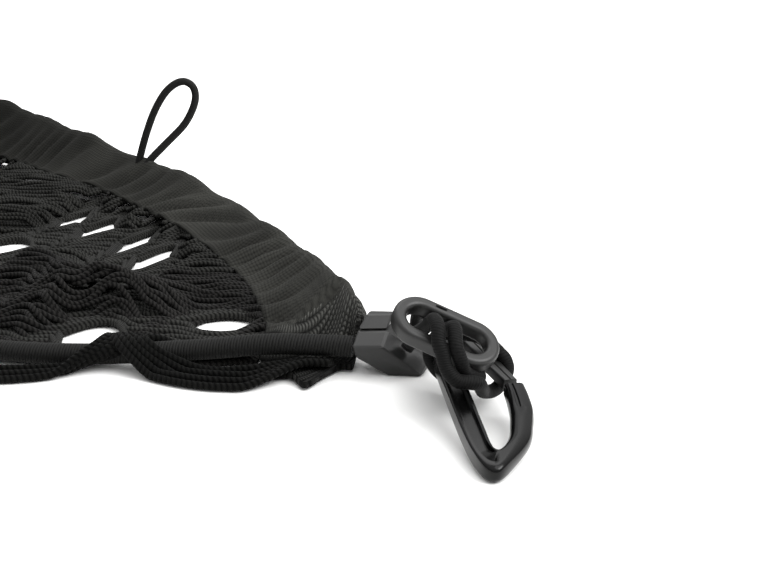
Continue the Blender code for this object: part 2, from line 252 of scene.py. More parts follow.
# Tone and roughness change from the grooves to the crowns, and the height is a bump. Where the tone follows
# the height, on the knits and braids, the darker grooves are painted shade and the lighter crowns painted
# highlights; on the plastics and the paper the tone follows a random mottling.
def finishSurface(material, look, height, mix=None):
    blend = height if mix is None else mix
    colour = addNode(material, "ValToRGB", (blend,))
    stops = colour.node.color_ramp.elements
    for stop, position, hexColour in zip(stops, (0.05, 0.95), (look["dark"], look["light"])):
        stop.position = position
        stop.color = linearColour(hexColour)
    grooves, crowns = look["rough"]
    roughness = addNode(material, "MapRange", {0: blend, 3: grooves, 4: crowns})
    bump = addNode(material, "Bump", {"Height": height, "Strength": 1.0, "Distance": look["depth"]})
    inputs = material.node_tree.nodes["Principled BSDF"].inputs
    for name, source in (("Base Color", colour), ("Roughness", roughness), ("Normal", bump)):
        material.node_tree.links.new(source, inputs[name])
    return material


# Textured polyester yarn over rubber, knitted as a chain: matt and almost black, with each
# stitch a small bead that catches light on its crown; that light is also painted into the colour as a painted
# highlight.
chainKnit = {
    "roughness": 0.9, "rough": (0.95, 0.8), "gleam": 0.08, "sheen": (0.03, 0.4), "depth": 0.34 * mm,
    "dark": "#020202", "light": "#2a2a28", "stitch": 1.6, "lean": 0.5, "crown": 1.3,
    "fuzz": (1400.0, 2.0, 0.35), "worn": (45.0, 3.0, 0.25),
}


def makeChainKnit(name, look):
    material = newMaterial(name, look)
    u, v = uvParts(material)
    turn = addNode(material, "Math", (v, 2 * math.pi), operation="MULTIPLY")
    side = addNode(material, "Math", (turn,), operation="COSINE")
    lean = addNode(material, "Math", (side, look["lean"] * look["stitch"]), operation="MULTIPLY")
    leaning = addNode(material, "Math", (u, lean), operation="ADD")
    height = withFuzz(material, wave(material, leaning, look["stitch"], look["crown"]), look["fuzz"])
    return finishSurface(material, look, height, withWear(material, height, look["worn"]))


# Fine rib-knitted elastic band: soft matt black with thin lines along its length. Its colour is painted
# lighter towards the front and darker towards the back of the arch: painted light and shade.
ribKnit = {
    "roughness": 0.9, "rough": (0.95, 0.82), "gleam": 0.04, "sheen": (0.014, 0.45), "depth": 0.06 * mm,
    "dark": "#060606", "light": "#353532", "rib": 1.25, "crown": 0.8, "stitch": 1.5, "slant": 0.45,
    "share": 0.35, "fuzz": (1500.0, 2.0, 0.5), "worn": (30.0, 4.0, 0.2),
    "paintedLightAndShade": (30 * mm, 180 * mm, 1.35, 0.35),
}


def makeRibKnit():
    material = newMaterial("Black elastic band, rib knitted", ribKnit)
    u, v = uvParts(material)
    ribs = wave(material, v, ribKnit["rib"], ribKnit["crown"])
    shift = addNode(material, "Math", (v, ribKnit["slant"]), operation="MULTIPLY")
    slanted = addNode(material, "Math", (u, shift), operation="ADD")
    both = addNode(material, "Math", (ribs, wave(material, slanted, ribKnit["stitch"])), operation="ADD")
    fine = addNode(material, "Math", (both, ribKnit["share"]), operation="MULTIPLY")
    height = withFuzz(material, fine, ribKnit["fuzz"])
    tone = withWear(material, height, ribKnit["worn"])
    # painted light and shade: the colour is lighter towards the front and darker towards the back
    paintedLightAndShade = fadeAlong(material, 1, ribKnit["paintedLightAndShade"])
    tone = addNode(material, "Math", (tone, paintedLightAndShade), operation="MULTIPLY")
    return finishSurface(material, ribKnit, height, tone)


# The same elastic where it is folded double at the clamp: coarse purl stitches standing as beads.
# Its colour is painted darker close to the floor, from 2 to 12 mm up: painted shade.
purlKnit = {
    "roughness": 0.9, "rough": (0.95, 0.8), "gleam": 0.08, "sheen": (0.03, 0.4), "depth": 0.7 * mm,
    "dark": "#010101", "light": "#4c4c49", "row": 1.55, "stitch": 1.2, "crown": 1.3, "turned": 78.0,
    "bent": 0.5, "beads": (0.75, 0.25), "fuzz": (1300.0, 2.0, 0.3), "paintedLowShade": (2 * mm, 12 * mm, 0.2, 1.0),
}


def makePurlKnit():
    material = newMaterial("Black elastic band, coarse purl side", purlKnit)
    straight = addNode(material, "UVMap", uv_map="UVMap")
    angle = math.radians(purlKnit["turned"])
    turned = addNode(material, "VectorRotate", {"Vector": straight, "Angle": angle}, rotation_type="Z_AXIS")
    across = addNode(material, "SeparateXYZ", (turned,))
    rows = wave(material, across.node.outputs[1], purlKnit["row"], purlKnit["crown"])
    bend = addNode(material, "Math", (rows, purlKnit["bent"]), operation="MULTIPLY")
    bent = addNode(material, "Math", (across, bend), operation="ADD")
    stitches = wave(material, bent, purlKnit["stitch"], purlKnit["crown"])
    share, least = purlKnit["beads"]
    beads = addNode(material, "Math", (stitches, share), operation="MULTIPLY")
    beads = addNode(material, "Math", (beads, least), operation="ADD")
    beads = addNode(material, "Math", (rows, beads), operation="MULTIPLY")
    height = withFuzz(material, beads, purlKnit["fuzz"])
    # painted shade: the colour darkens towards the floor
    paintedLowShade = fadeAlong(material, 2, purlKnit["paintedLowShade"])
    tone = addNode(material, "Math", (height, paintedLowShade), operation="MULTIPLY")
    return finishSurface(material, purlKnit, height, tone)


# Braided polyester cover of a bungee: slanted ribs with a faint silky gleam.
bungeeCover = {
    "roughness": 0.75, "rough": (0.85, 0.65), "gleam": 0.12, "sheen": (0.03, 0.35), "depth": 0.14 * mm,
    "dark": "#020202", "light": "#181817", "pitch": 0.85, "slant": 3.0, "crown": 1.5, "cross": 0.3,
    "fuzz": (1800.0, 2.0, 0.3),
}
# Loop cord is braided finer and tighter, so it looks smoother. The loops round the hooks are coloured blacker
# than the hanger loops.
loopCover = {**bungeeCover, "pitch": 0.62, "slant": 2.6, "depth": 0.06 * mm, "dark": "#010101",
             "light": "#090909"}
hangerCover = {**loopCover, "depth": 0.045 * mm, "dark": "#050505", "light": "#191918"}


def makeBraid(name, cover):
    material = newMaterial(name, cover)
    u, v = uvParts(material)
    slant = addNode(material, "Math", (v, cover["slant"]), operation="MULTIPLY")
    oneWay = addNode(material, "Math", (u, slant), operation="ADD")
    otherWay = addNode(material, "Math", (u, slant), operation="SUBTRACT")
    ribs = wave(material, oneWay, cover["pitch"], cover["crown"])
    cross = wave(material, otherWay, cover["pitch"] * 2)
    cross = addNode(material, "Math", (cross, cover["cross"]), operation="MULTIPLY")
    braided = addNode(material, "Math", (ribs, cross), operation="ADD")
    return finishSurface(material, cover, withFuzz(material, braided, cover["fuzz"]))


# Nylon moulded in a spark-eroded tool: an even fine grain with a soft satin shine.
satinNylon = {
    "roughness": 0.4, "rough": (0.35, 0.5), "gleam": 0.42, "depth": 0.02 * mm, "dark": "#121212",
    "light": "#1b1b1a", "grain": (2600.0, 3.0), "handled": (120.0, 4.0),
}
# Acetal moulded in a polished tool: deep black with small sharp highlights.
glossAcetal = {
    "roughness": 0.16, "rough": (0.11, 0.26), "gleam": 0.2, "depth": 0.003 * mm, "dark": "#030303",
    "light": "#070707", "grain": (1500.0, 3.0), "handled": (120.0, 4.0),
}


def makePlastic(name, look):
    material = newMaterial(name, look)
    grain, handled = mottling(material, *look["grain"]), mottling(material, *look["handled"])
    return finishSurface(material, look, grain, handled)


knit = makeChainKnit("Black elastic yarn, chain knitted", chainKnit)
# the near part is the same yarn coloured darker than the stretched far part: painted shade for its crisp
# folds
shadedNearKnit = makeChainKnit("Black elastic yarn, chain knitted and slack", {**chainKnit, "light": "#201f1e"})
# the front bundle is drawn tight; its much darker colour is painted shade for where it lies low by the floor,
# and its gleam is weaker
shadedFrontKnit = makeChainKnit("Black elastic yarn, chain knitted and drawn tight",
                          {**chainKnit, "light": "#0f0f0e", "gleam": 0.05})
ribbed = makeRibKnit()
beaded = makePurlKnit()
braid = makeBraid("Black bungee, braided polyester cover", bungeeCover)
loopBraid = makeBraid("Black loop cord, tightly braided", loopCover)
hangerBraid = makeBraid("Black hanger cord, tightly braided", hangerCover)
satin = makePlastic("Satin black nylon, moulded in a fine-sparked tool", satinNylon)
gloss = makePlastic("Black acetal, moulded in a polished tool", glossAcetal)
print("materials made")


# Floor, surround and lamps. The sky's strength changes from the horizon up. A panel is its name,
# place, aim, size and power.

# Matt white paper: no shine and hardly any mottling.
paper = {"roughness": 0.9, "rough": (0.9, 0.95), "gleam": 0.5, "depth": 0.01 * mm, "dark": "#f0f0ef",
         "light": "#f6f6f5", "mottle": (3.0, 2.0)}
studio = {
    "reach": 9.0, "under": -0.2 * mm, "sky": (0.0, 0.9, 0.25, 1.35),
    "sun": 1.8, "sunWide": 55.0, "sunFrom": (0.85, -0.2, 1.25),
    "panels": (
        ("overhead panel", (0.1, 0.5, 1.3), (0.35, -0.1, 0.0), (1.2, 0.9), 7.0),
        ("side panel", (1.3, -0.3, 0.7), (0.42, -0.12, 0.0), (0.7, 0.5), 8.0),
    ),
}


def makeFloor():
    reach, under = studio["reach"], studio["under"]
    floor = bpy.data.meshes.new("floor")
    corners = [(x * reach, y * reach, under) for x, y in ((-1, -1), (1, -1), (1, 1), (-1, 1))]
    floor.from_pydata(corners, [], [(0, 1, 2, 3)])
    ground = addObject("floor", floor)
    material = newMaterial("Matt white studio paper", paper)
    floor.materials.append(finishSurface(material, paper, mottling(material, *paper["mottle"])))


def makeStudio():
    scene.view_settings.view_transform = "Standard"
    world = bpy.data.worlds.new("Even studio surround")
    world.use_nodes = True
    background = world.node_tree.nodes["Background"]
    background.inputs["Color"].default_value = (1, 1, 1, 1)
    power = fadeAlong(world, 2, studio["sky"], "Generated")
    world.node_tree.links.new(power, background.inputs["Strength"])
    scene.world = world
    lamp = bpy.data.lights.new("high soft lamp", "SUN")
    lamp.energy = studio["sun"]
    lamp.angle = math.radians(studio["sunWide"])
    high = addObject("high soft lamp", lamp)
    high.rotation_euler = Vector(studio["sunFrom"]).to_track_quat("Z", "Y").to_euler()
    for name, place, aim, size, power in studio["panels"]:
        lamp = bpy.data.lights.new(name, "AREA")
        lamp.shape = "RECTANGLE"
        lamp.size, lamp.size_y = size
        lamp.energy = power
        panel = addObject(name, lamp)
        panel.location = place
        panel.rotation_euler = (Vector(aim) - Vector(place)).to_track_quat("-Z", "Y").to_euler()


makeFloor()
makeStudio()
print("studio made")


# Cords. Each route repeats the solid's own, millimetres from the front's line.
bungeeRoute = (
    (393.15, 6.0, 7.8), (386.0, 5.2, 7.9), (370.0, 3.0, 7.8), (349.0, 0.6, 5.4), (320.0, -4.5, 3.8),
    (291.0, -7.5, 3.8), (250.0, -6.2, 5.0), (200.0, -4.0, 5.5), (140.0, -6.5, 5.5), (70.0, -4.5, 5.5),
    (0.0, -6.0, 5.5),
)
# The hanger loop stands in an upright plane on the band's ridge: places across that plane and up it.
hanger = {"root": (250.5, 192.2, 24.0), "across": (0.978, 0.208, 0.0), "inward": (0.35, 0.94, 0.0),
          "farEnd": (4.0, 3.4, 1.6)}
hangerRoute = (
    (-5.0, -4.0), (-4.0, 0.0), (-0.5, 10.5), (4.0, 21.0), (9.0, 28.8), (13.8, 33.0), (18.2, 34.2),
    (21.8, 32.2), (23.0, 28.0), (21.6, 22.3), (17.0, 14.6), (9.6, 6.4), (4.0, 0.0), (1.5, -3.5),
)
loopRoute = (
    (408.4, 6.6, 8.1), (409.6, 6.0, 10.0), (412.0, -1.3, 15.2), (416.3, -9.5, 20.2),
    (419.4, -15.6, 24.5), (420.8, -18.6, 25.0), (421.8, -21.4, 24.0), (422.3, -23.4, 21.2),
    (423.4, -24.0, 18.6), (424.6, -24.6, 15.1), (427.2, -24.6, 12.3), (430.5, -23.1, 11.5),
    (432.1, -20.3, 10.2), (432.2, -16.2, 7.4), (432.4, -12.3, 5.0), (434.4, -8.4, 3.9),
    (436.3, -5.4, 5.2), (437.4, -3.8, 8.0), (436.8, -3.5, 10.6), (435.4, -3.4, 12.2),
    (431.4, -1.0, 14.7), (427.5, 0.3, 15.6), (420.0, -0.3, 15.8), (417.6, -1.8, 14.6),
    (416.6, -2.8, 12.4), (416.7, -3.4, 9.8), (418.0, -4.0, 7.6), (420.0, -4.8, 6.0),
    (422.3, -5.9, 5.2), (426.7, -9.0, 5.7), (430.4, -11.1, 8.0), (431.2, -13.8, 9.8),
    (430.6, -17.2, 10.9), (428.4, -20.4, 13.2), (427.7, -22.6, 16.8), (426.5, -22.6, 20.4),
    (425.5, -18.8, 23.5), (424.3, -15.6, 22.8), (421.0, -8.4, 19.8), (417.6, -4.0, 21.0),
    (412.4, 4.0, 20.2), (409.8, 12.4, 12.4), (408.4, 13.2, 8.1),
)
cords = {
    "bungee": {"diameter": 6.0 * mm, "stiffness": "medium", "steps": 12, "gap": 1.6 * mm, "around": 20},
    "loop": {"diameter": 3.7 * mm, "stiffness": "limp", "steps": 8, "gap": 0.6 * mm, "around": 18},
    "hanger": {"diameter": 3.4 * mm, "stiffness": "medium", "steps": 8, "gap": 0.8 * mm, "around": 16},
}


def makeCord(name, route, cord, material, node):
    diameter = cord["diameter"]
    route, along = evenly(route, cord["gap"])
    sides, ups = turnedFrames(route)
    piece = joinTubes(name, [tubeParts(route, along, sides, ups, diameter / 2, cord["around"])], material)
    ridesOn(piece, node)


def hangerLine():
    across = np.array(hanger["across"])
    line = [placed(hanger["root"]) + across * (a * mm) + np.array((0, 0, b * mm)) for a, b in hangerRoute]
    for back, inward in enumerate(hanger["farEnd"], 1):  # the far end goes in through the band's ridge
        line[-back] -= np.array(hanger["inward"]) * (inward * mm)
    return smoothRoute(line, cords["hanger"]["steps"])


def makeCords():
    right = smoothRoute([placed(point) for point in bungeeRoute], cords["bungee"]["steps"])
    full = np.vstack([right, (right * (-1, 1, 1))[-2::-1]])
    makeCord("front_bungee_braided", full, cords["bungee"], braid, "front_bungee")
    loop = smoothRoute([placed(point) for point in loopRoute], cords["loop"]["steps"])
    stand = hangerLine()
    for side, turn in (("right", (1, 1, 1)), ("left", (-1, 1, 1))):
        makeCord("hook_loop_braided_" + side, loop * turn, cords["loop"], loopBraid, "hook_loop_" + side)
        makeCord("hanger_loop_braided_" + side, stand * turn, cords["hanger"], hangerBraid,
                 "hanger_loop_" + side)


makeCords()
print("cords made")


# The band's own rows: edge against the net, ridge of its roll, foot and sag, in millimetres.
bandRows = (
    (392.9, 6.3, 1.4, 393.0, 14.5, 14.2, 4.0, 1.8), (388.6, 4.4, 1.4, 391.4, 17.5, 16.8, 3.0, 2.4),
    (384.0, -9.4, 1.5, 388.8, 20.5, 18.0, 2.0, 3.0), (377.8, -3.6, 1.5, 386.6, 25.0, 18.8, 1.3, 2.4),
    (371.0, -4.0, 1.4, 384.6, 29.0, 19.2, 1.3, 2.0), (366.0, 6.0, 2.0, 382.5, 31.6, 19.2, 1.1, 1.0),
    (363.5, 20.0, 4.0, 380.0, 34.0, 19.0, 1.1, 0.5), (356.0, 38.0, 5.0, 373.0, 47.0, 18.0, 1.1, 0.4),
    (340.0, 68.0, 5.0, 355.0, 78.0, 16.5, 1.1, 0.3), (318.0, 97.0, 6.0, 332.0, 108.0, 16.0, 1.1, 0.3),
    (290.0, 131.0, 7.0, 303.0, 144.0, 18.0, 1.1, 0.3), (261.0, 157.0, 8.0, 272.5, 171.0, 21.0, 1.1, 0.3),
    (229.0, 185.0, 9.0, 239.0, 199.0, 23.0, 1.1, 0.3), (189.0, 211.0, 10.0, 198.0, 226.0, 28.0, 1.1, 0.3),
    (143.0, 243.0, 11.0, 151.0, 258.0, 34.0, 1.1, 0.3), (87.0, 272.0, 12.0, 92.0, 288.0, 37.0, 1.1, 0.3),
    (0.0, 292.0, 12.0, 0.0, 309.0, 36.0, 1.1, 0.3),
)
# The band's cross folds start small at the pleat and stand further apart away from the clamp. A bend
# of their lines is its size, length, start and change over the width. A level runs from 0 at the net
# to 1 on the ridge, and the pleat ends at its own distance from the clamp on each.
band = {
    "thickness": 1.7 * mm, "steps": 36, "levels": 15, "lowest": 1.05 * mm,
    "fold": 2.9 * mm, "foldPeriod": 12.0 * mm, "widerFolds": 8.0 * mm, "widerOver": 300 * mm,
    "slant": 17.0 * mm, "crease": 0.75, "creaseGain": 2.0, "creaseDrop": 1.3, "bell": (0.12, 0.84),
    "bends": ((1.9, 47 * mm, 0.0, 0.0), (1.5, 19 * mm, 2.0, 0.0), (0.8, 33 * mm, 0.0, 3.0)),
    "shallow": 0.35, "deeper": 0.65, "deepEvery": 24 * mm, "deepTurn": 2.2,
    "swell": 1.6 * mm, "swellShort": 9.5 * mm, "swellLong": 31.0 * mm, "swellStart": 0.6,
    "swellFrom": 30 * mm, "swellOver": 60 * mm,
    "pleatLevels": (0.0, 0.35, 0.58, 0.75, 0.93, 1.0), "pleatEnds": (24.0, 22.3, 21.9, 20.6, 15.5, 6.5),
    "pleat": 2.0 * mm, "pleatSharp": 3.0 * mm, "pleatBack": 1.9, "pleatHollow": 0.5, "pleatWidth": 33.0,
    "flattest": 0.1, "freeAtPleat": 0.4, "freeAfter": 3,
    "rollOut": 3.4 * mm, "rollDown": 2.6 * mm, "rollTurns": (0.35, 0.7, 1.0),
    "rollBulge": 1.6 * mm, "bulgeTop": 1.05, "drops": (0.3, 0.6, 0.85),
}


def pleatEnd(level):
    return float(np.interp(level, band["pleatLevels"], band["pleatEnds"])) * mm


def foldLift(s, t, folds):  # how far the band stands off its plain slope, at a distance and a level
    phase = (folds + band["slant"] * t / band["foldPeriod"]) * math.pi
    bend = sum(size * math.sin(s / length + start + turn * t) for size, length, start, turn in band["bends"])
    crease = abs(math.sin(phase + bend)) ** band["crease"]
    least, grows = band["bell"]
    bell = math.sin(math.pi * min(1.0, least + grows * t))
    deep = band["shallow"] + band["deeper"] * math.sin(s / band["deepEvery"] + band["deepTurn"] * t) ** 2
    toPleat = (s - pleatEnd(t)) / band["pleatSharp"]
    free = min(1.0, max(band["flattest"], toPleat / band["freeAfter"] + band["freeAtPleat"]))
    lift = band["fold"] * (crease * band["creaseGain"] - band["creaseDrop"]) * bell * deep * free
    hollow = band["pleatHollow"] * math.exp(-(toPleat + band["pleatBack"]) ** 2)
    return lift + band["pleat"] * (math.exp(-toPleat ** 2) - hollow) * bell


def bandSection(edge, ridge, other, s):  # from the net up to the ridge, over the roll and down to the foot
    footZ, sag = other[0], max(other[1], 0.0)
    outward = ridge[:2] - edge[:2]
    outward = np.append(outward / np.linalg.norm(outward), 0.0)
    fade = min(1.0, max(0.0, (s - band["swellFrom"]) / band["swellOver"]))
    swell = math.sin(s / band["swellShort"]) * math.cos(s / band["swellLong"] + band["swellStart"])
    swell = swell * band["swell"] * fade
    rise = ridge[2] - edge[2]
    folds = s / (band["foldPeriod"] + band["widerFolds"] * min(1.0, s / band["widerOver"]) / 2)
    section = []
    for t in np.linspace(0, 1, band["levels"]):
        point = edge + (ridge - edge) * t
        point[2] = edge[2] + rise * t ** (1.0 + sag) + swell * t + foldLift(s, t, folds)
        section.append(point)
    top = section[-1].copy()
    out, down = band["rollOut"], band["rollDown"]
    for turn in band["rollTurns"]:
        section.append(top + outward * (out * turn) - np.array((0, 0, down * turn ** 2)))
    for drop in band["drops"]:
        bulge = out + band["rollBulge"] * math.sin(math.pi * min(1, drop * band["bulgeTop"]))
        section.append(top + outward * bulge - np.array((0, 0, (top[2] - footZ) * drop)))
    section.append(np.array((*(top + outward * out)[:2], footZ)))
    section = np.array(section)
    section[:, 2] = np.maximum(section[:, 2], band["lowest"])
    return section


def bandPoints():
    rows = np.array(bandRows)
    edges = halfRoute([placed(row[0:3]) for row in rows], band["steps"])
    ridges = halfRoute([placed(row[3:6]) for row in rows], band["steps"])
    rest = smoothRoute(np.stack([rows[:, 6] * mm, rows[:, 7], rows[:, 7]], axis=1), band["steps"])
    along = lengthsAlong(ridges)
    grid = [bandSection(*station) for station in zip(edges, ridges, rest, along)]
    return np.array(grid), along, np.array([lengthsAlong(section) for section in grid])


def makeBand():
    grid, along, across = bandPoints()
    full = np.concatenate([grid, (grid * (-1, 1, 1))[-2::-1]])
    length = np.concatenate([along, 2 * along[-1] - along[-2::-1]])
    wide = np.concatenate([across, across[-2::-1]])
    rings, count = full.shape[:2]
    faces, uvs, slots = [], [], []
    levelOf = [k / (band["levels"] - 1) for k in range(count)]
    for s in range(rings - 1):
        fromClamp = min(length[s], length[-1] - length[s])
        for k in range(count - 1):
            corners = ((s, k), (s + 1, k), (s + 1, k + 1), (s, k + 1))
            faces.append([i * count + j for i, j in corners])
            pleated = fromClamp < pleatEnd(levelOf[k])
            for i, j in corners:  # the stitches of the pleat crowd together towards the clamp
                uvs.append((length[i] / mm, levelOf[j] * band["pleatWidth"] if pleated else wide[i, j] / mm))
            slots.append(int(pleated))
    mesh = bpy.data.meshes.new("border_band_knitted")
    mesh.from_pydata(full.reshape(-1, 3).tolist(), [], faces)
    mesh.uv_layers.new(name="UVMap").data.foreach_set("uv", np.array(uvs).ravel())
    mesh.materials.append(ribbed)
    mesh.materials.append(beaded)
    mesh.polygons.foreach_set("material_index", slots)
    mesh.shade_smooth()
    piece = addObject("border_band_knitted", mesh)
    thick = piece.modifiers.new("Thickness", "SOLIDIFY")
    thick.thickness = band["thickness"]
    thick.offset = 0.0
    ridesOn(piece, "border_band")


makeBand()
print("band made")


# The net: chain-knitted yarns that run from side to side and join their neighbours every 20 mm.
# Lengths are millimetres. A ripple is a wave's size, length, change from yarn to yarn and start.
netYarns = {
    "yarn": 2.0, "bundles": 64, "first": 4.2, "last": 289.5, "pitch": 5.0, "closer": 1.5, "dense": 13,
    "nearDepth": 75.0, "fineGap": 0.95, "fineFrom": 160, "coarseGap": 3.2, "around": 6,
    "frontLimit": 365.0, "intoSeam": 0.4, "seamFrom": 20, "seamOver": 12, "bunchFade": 40,
    "twin": 2.0, "parting": ((0.22, 9.0, 1.7, 0), (0.14, 5.3, -1, 0)),
    "wave": 1.7, "cell": 40.0, "drifting": 0.6, "drift": ((0.9, 61, 1 / 23, 0), (0.7, 37, -1 / 17, 1.3)),
    "bunch": ((2.6, 52, 1 / 15.5, 0), (1.5, 33, -1 / 11, 2.0)),
    "stack": ((0.9, 11.0, 2.1, 0), (0.9, 23.0, -1.3, 0)), "stackUp": 0.5, "stackMost": 3,
    "twinStack": ((0.5, 7.7, 1, 0),), "twinUp": 0.7, "lowest": 1.05,
}
# Along the front two bundles of yarn wind over the bungee by turns. The one that is in front at the
# corner runs in beneath the bungee to the clamp, and the other ends short of it.
frontYarns = {
    "yarns": 5, "thicker": 1.05, "fineGap": 0.6, "ends": {1: 388.0, -1: 364.0},
    "crossings": (331.0, 243.0, 155.0, 67.0), "bulgeAt": (360, 287, 199, 111, 0), "stagger": 2.2, "turn": 9.0,
    "winding": 118, "over": 4.3, "further": 0.2, "bulge": 9.2, "bulgePower": 1.2, "inner": 2.2, "around": 8,
    "fan": 1.9, "widerFan": 0.25, "behind": (0.4, 0.8),
    "low": 1.3, "everyOther": 0.9, "lowest": 1.25,
    "endFrom": 366, "endOver": 17, "endBack": 1.2, "endApart": 1.1, "endBelow": 4.4, "endRise": 0.3,
}
# Yarns of the gathered net that stay down on the floor under the ones that ride up.
lowerYarns = {
    "yarn": 2.5, "first": 9.0, "gap": 2.5, "even": 105.0, "looser": 1.024, "last": 284.0, "spacing": 3.4,
    "around": 5, "shorter": 1.0,
    "sway": ((0.8, 14, 1.9, 0), (0.6, 6.1, -1, 0)), "lift": ((0.5, 8.3, 2.4, 0),), "height": 1.65,
}
edgeRows = [row[0:3] for row in bandRows[6:]]
# Meshes pulled open: middle, half-length along the yarns and half-width, millimetres.
openMeshes = (
    (346.0, 33.0, 12.5, 9.5), (308.5, 15.5, 10.0, 12.5), (297.5, 86.3, 5.5, 4.5), (291.5, 100.5, 6.8, 21.0),
    (274.5, 121.0, 5.4, 24.0), (257.5, 127.2, 5.5, 4.5), (249.0, 139.5, 6.0, 20.0), (241.5, 86.0, 6.0, 4.5),
    (231.0, 152.0, 4.8, 20.0), (227.0, 104.0, 11.0, 14.0), (140.0, 250.0, 11.0, 13.0),
)
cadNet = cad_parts["net_mesh"]
netSurface = BVHTree.FromPolygons([point.co for point in cadNet.data.vertices],
                                  [face.vertices for face in cadNet.data.polygons])
bungeeLine = smoothRoute(bungeeRoute, 8)[::-1]
edgeCurve = halfRoute(edgeRows, 8)
# How steeply an open mesh closes at its ends, where it counts as open, how many half-widths off it
# still pushes yarns, and how soon. Round it the net lies down, over a longer stretch and less far behind.
opening = {"closing": 1.5, "open": 0.3, "farthest": 5, "blend": 4}
lyingDown = {"longer": 2.0, "plateau": 1.5, "behind": 2.2, "full": 1.15, "over": 26.0, "most": 0.9}
# How much a yarn's stitches swell and pinch it. The lengths are millimetres.
plainStitches = {"mean": 0.97, "slow": 0.05, "slowLength": 3.1, "quick": 0.04, "quickLength": 1.37}
beadStitches = {"least": 0.92, "bead": 0.17, "lean": 0.5, "power": 0.8}


def ripples(waves, xs, number):  # slow waves along a yarn, shifted from yarn to yarn
    return sum(size * np.sin(xs / length + number * change + start) for size, length, change, start in waves)


def edgeLimit(y):
    if y <= edgeCurve[0, 1]:
        return netYarns["frontLimit"]
    return float(np.interp(y, edgeCurve[:, 1], edgeCurve[:, 0]))


def yarnPlaces(limit, near, fine):  # close steps where the yarns are seen from near by
    xs = [-limit]
    while xs[-1] < limit:
        xs.append(xs[-1] + (fine if near and xs[-1] > netYarns["fineFrom"] else netYarns["coarseGap"]))
    return np.array(xs[:-1] + [limit])


def yarnLine(bundle, twin):
    closer = netYarns["closer"] * min(bundle, netYarns["dense"])
    base = netYarns["first"] + netYarns["pitch"] * bundle - closer
    limit = edgeLimit(base) + netYarns["intoSeam"]
    xs = yarnPlaces(limit, base < netYarns["nearDepth"], netYarns["fineGap"])
    drift = netYarns["drifting"] * ripples(netYarns["drift"], xs, base)
    phase = 2 * math.pi * xs / netYarns["cell"] + math.pi * bundle + drift
    part = netYarns["twin"] * (0.5 + ripples(netYarns["parting"], xs, bundle))
    ys = base + netYarns["wave"] * np.cos(phase) + (part if twin else -part)
    bunch = ripples(netYarns["bunch"], xs, base)
    ys = ys + bunch * min(1.0, bundle / 3) * np.clip((limit - np.abs(xs)) / netYarns["bunchFade"], 0.1, 1)
    return xs, ys, base


def openUp(xs, ys):  # yarns part round each open mesh, on both sides of the net
    for x, y, half, wide in openMeshes:
        for side in (1, -1):
            near = np.clip(1 - ((xs - side * x) / half) ** 2, 0, 1) ** opening["closing"]
            inside = near > opening["open"]
            if not inside.any():
                continue
            sign = 1.0 if (ys[inside] - y).mean() >= 0 else -1.0
            away = np.maximum(sign * (ys - y), 0.0)
            if away[inside].min() > opening["farthest"] * wide:
                continue
            pushed = y + sign * np.sqrt(away ** 2 + wide ** 2 * near)
            share = np.clip(near * opening["blend"], 0, 1)
            ys = ys * (1 - share) + pushed * share
    return ys


def surfaceHeight(x, y):
    spot = netSurface.ray_cast(Vector(placed((x, y, 100))), Vector((0, 0, -1)))[0]
    if spot is None:
        spot = netSurface.find_nearest(Vector(placed((x, y, 6))))[0]
    return spot.z / mm - 1.1  # a yarn's middle lies about its radius under the sheet's top


def layDown(xs, ys):  # the share of its height that the net keeps near open meshes
    share = np.ones(len(xs))
    for x, y, half, wide in openMeshes:
        past = (np.abs(xs) - x) / (lyingDown["longer"] * half)
        near = np.clip(lyingDown["plateau"] * (1 - past ** 2), 0, 1)
        off = np.where(ys < y, y - wide - ys, (ys - y - wide) * lyingDown["behind"])
        share *= 1 - near * np.clip(lyingDown["full"] - off / lyingDown["over"], 0, 1) * lyingDown["most"]
    return share


def softened(values, places, reach):  # the sharpest turns rounded off over some millimetres
    even = np.arange(places[0], places[-1] + 1.0, 1.0)
    fine = np.interp(even, places, values)
    kernel = np.hanning(2 * reach + 1)
    fine = np.convolve(np.pad(fine, reach, mode="edge"), kernel / kernel.sum(), mode="valid")
    return np.interp(places, even, fine)


def bungeeAt(xs):
    x = np.abs(xs)
    return np.interp(x, bungeeLine[:, 0], bungeeLine[:, 1]), np.interp(x, bungeeLine[:, 0], bungeeLine[:, 2])


def stitched(s, turn):  # a slack yarn's slightly uneven width
    slow = plainStitches["slow"] * np.sin(s / mm / plainStitches["slowLength"])
    quick = plainStitches["quick"] * np.sin(s / mm / plainStitches["quickLength"] + 2 * math.pi * turn)
    return plainStitches["mean"] + (slow + quick)


def beadedYarn(s, turn):  # a tight yarn's stitches, leaning round it
    lean = beadStitches["lean"] * chainKnit["stitch"] * np.cos(turn * 2 * math.pi)
    beads = np.abs(np.sin(math.pi * (s / mm + lean) / chainKnit["stitch"])) ** beadStitches["power"]
    return beadStitches["least"] + beadStitches["bead"] * beads


def yarnTube(xs, ys, zs, radius, count, texture=stitched):
    route = np.stack([xs * mm, ys * mm + frontShift, zs * mm], axis=1)
    along = lengthsAlong(route)
    tangents = np.gradient(route, axis=0)
    tangents /= np.linalg.norm(tangents, axis=1)[:, None] + 1e-12
    sides = np.cross((0.0, 0.0, 1.0), tangents)
    sides /= np.linalg.norm(sides, axis=1)[:, None]
    return tubeParts(route, along, sides, np.cross(tangents, sides), radius, count, texture)


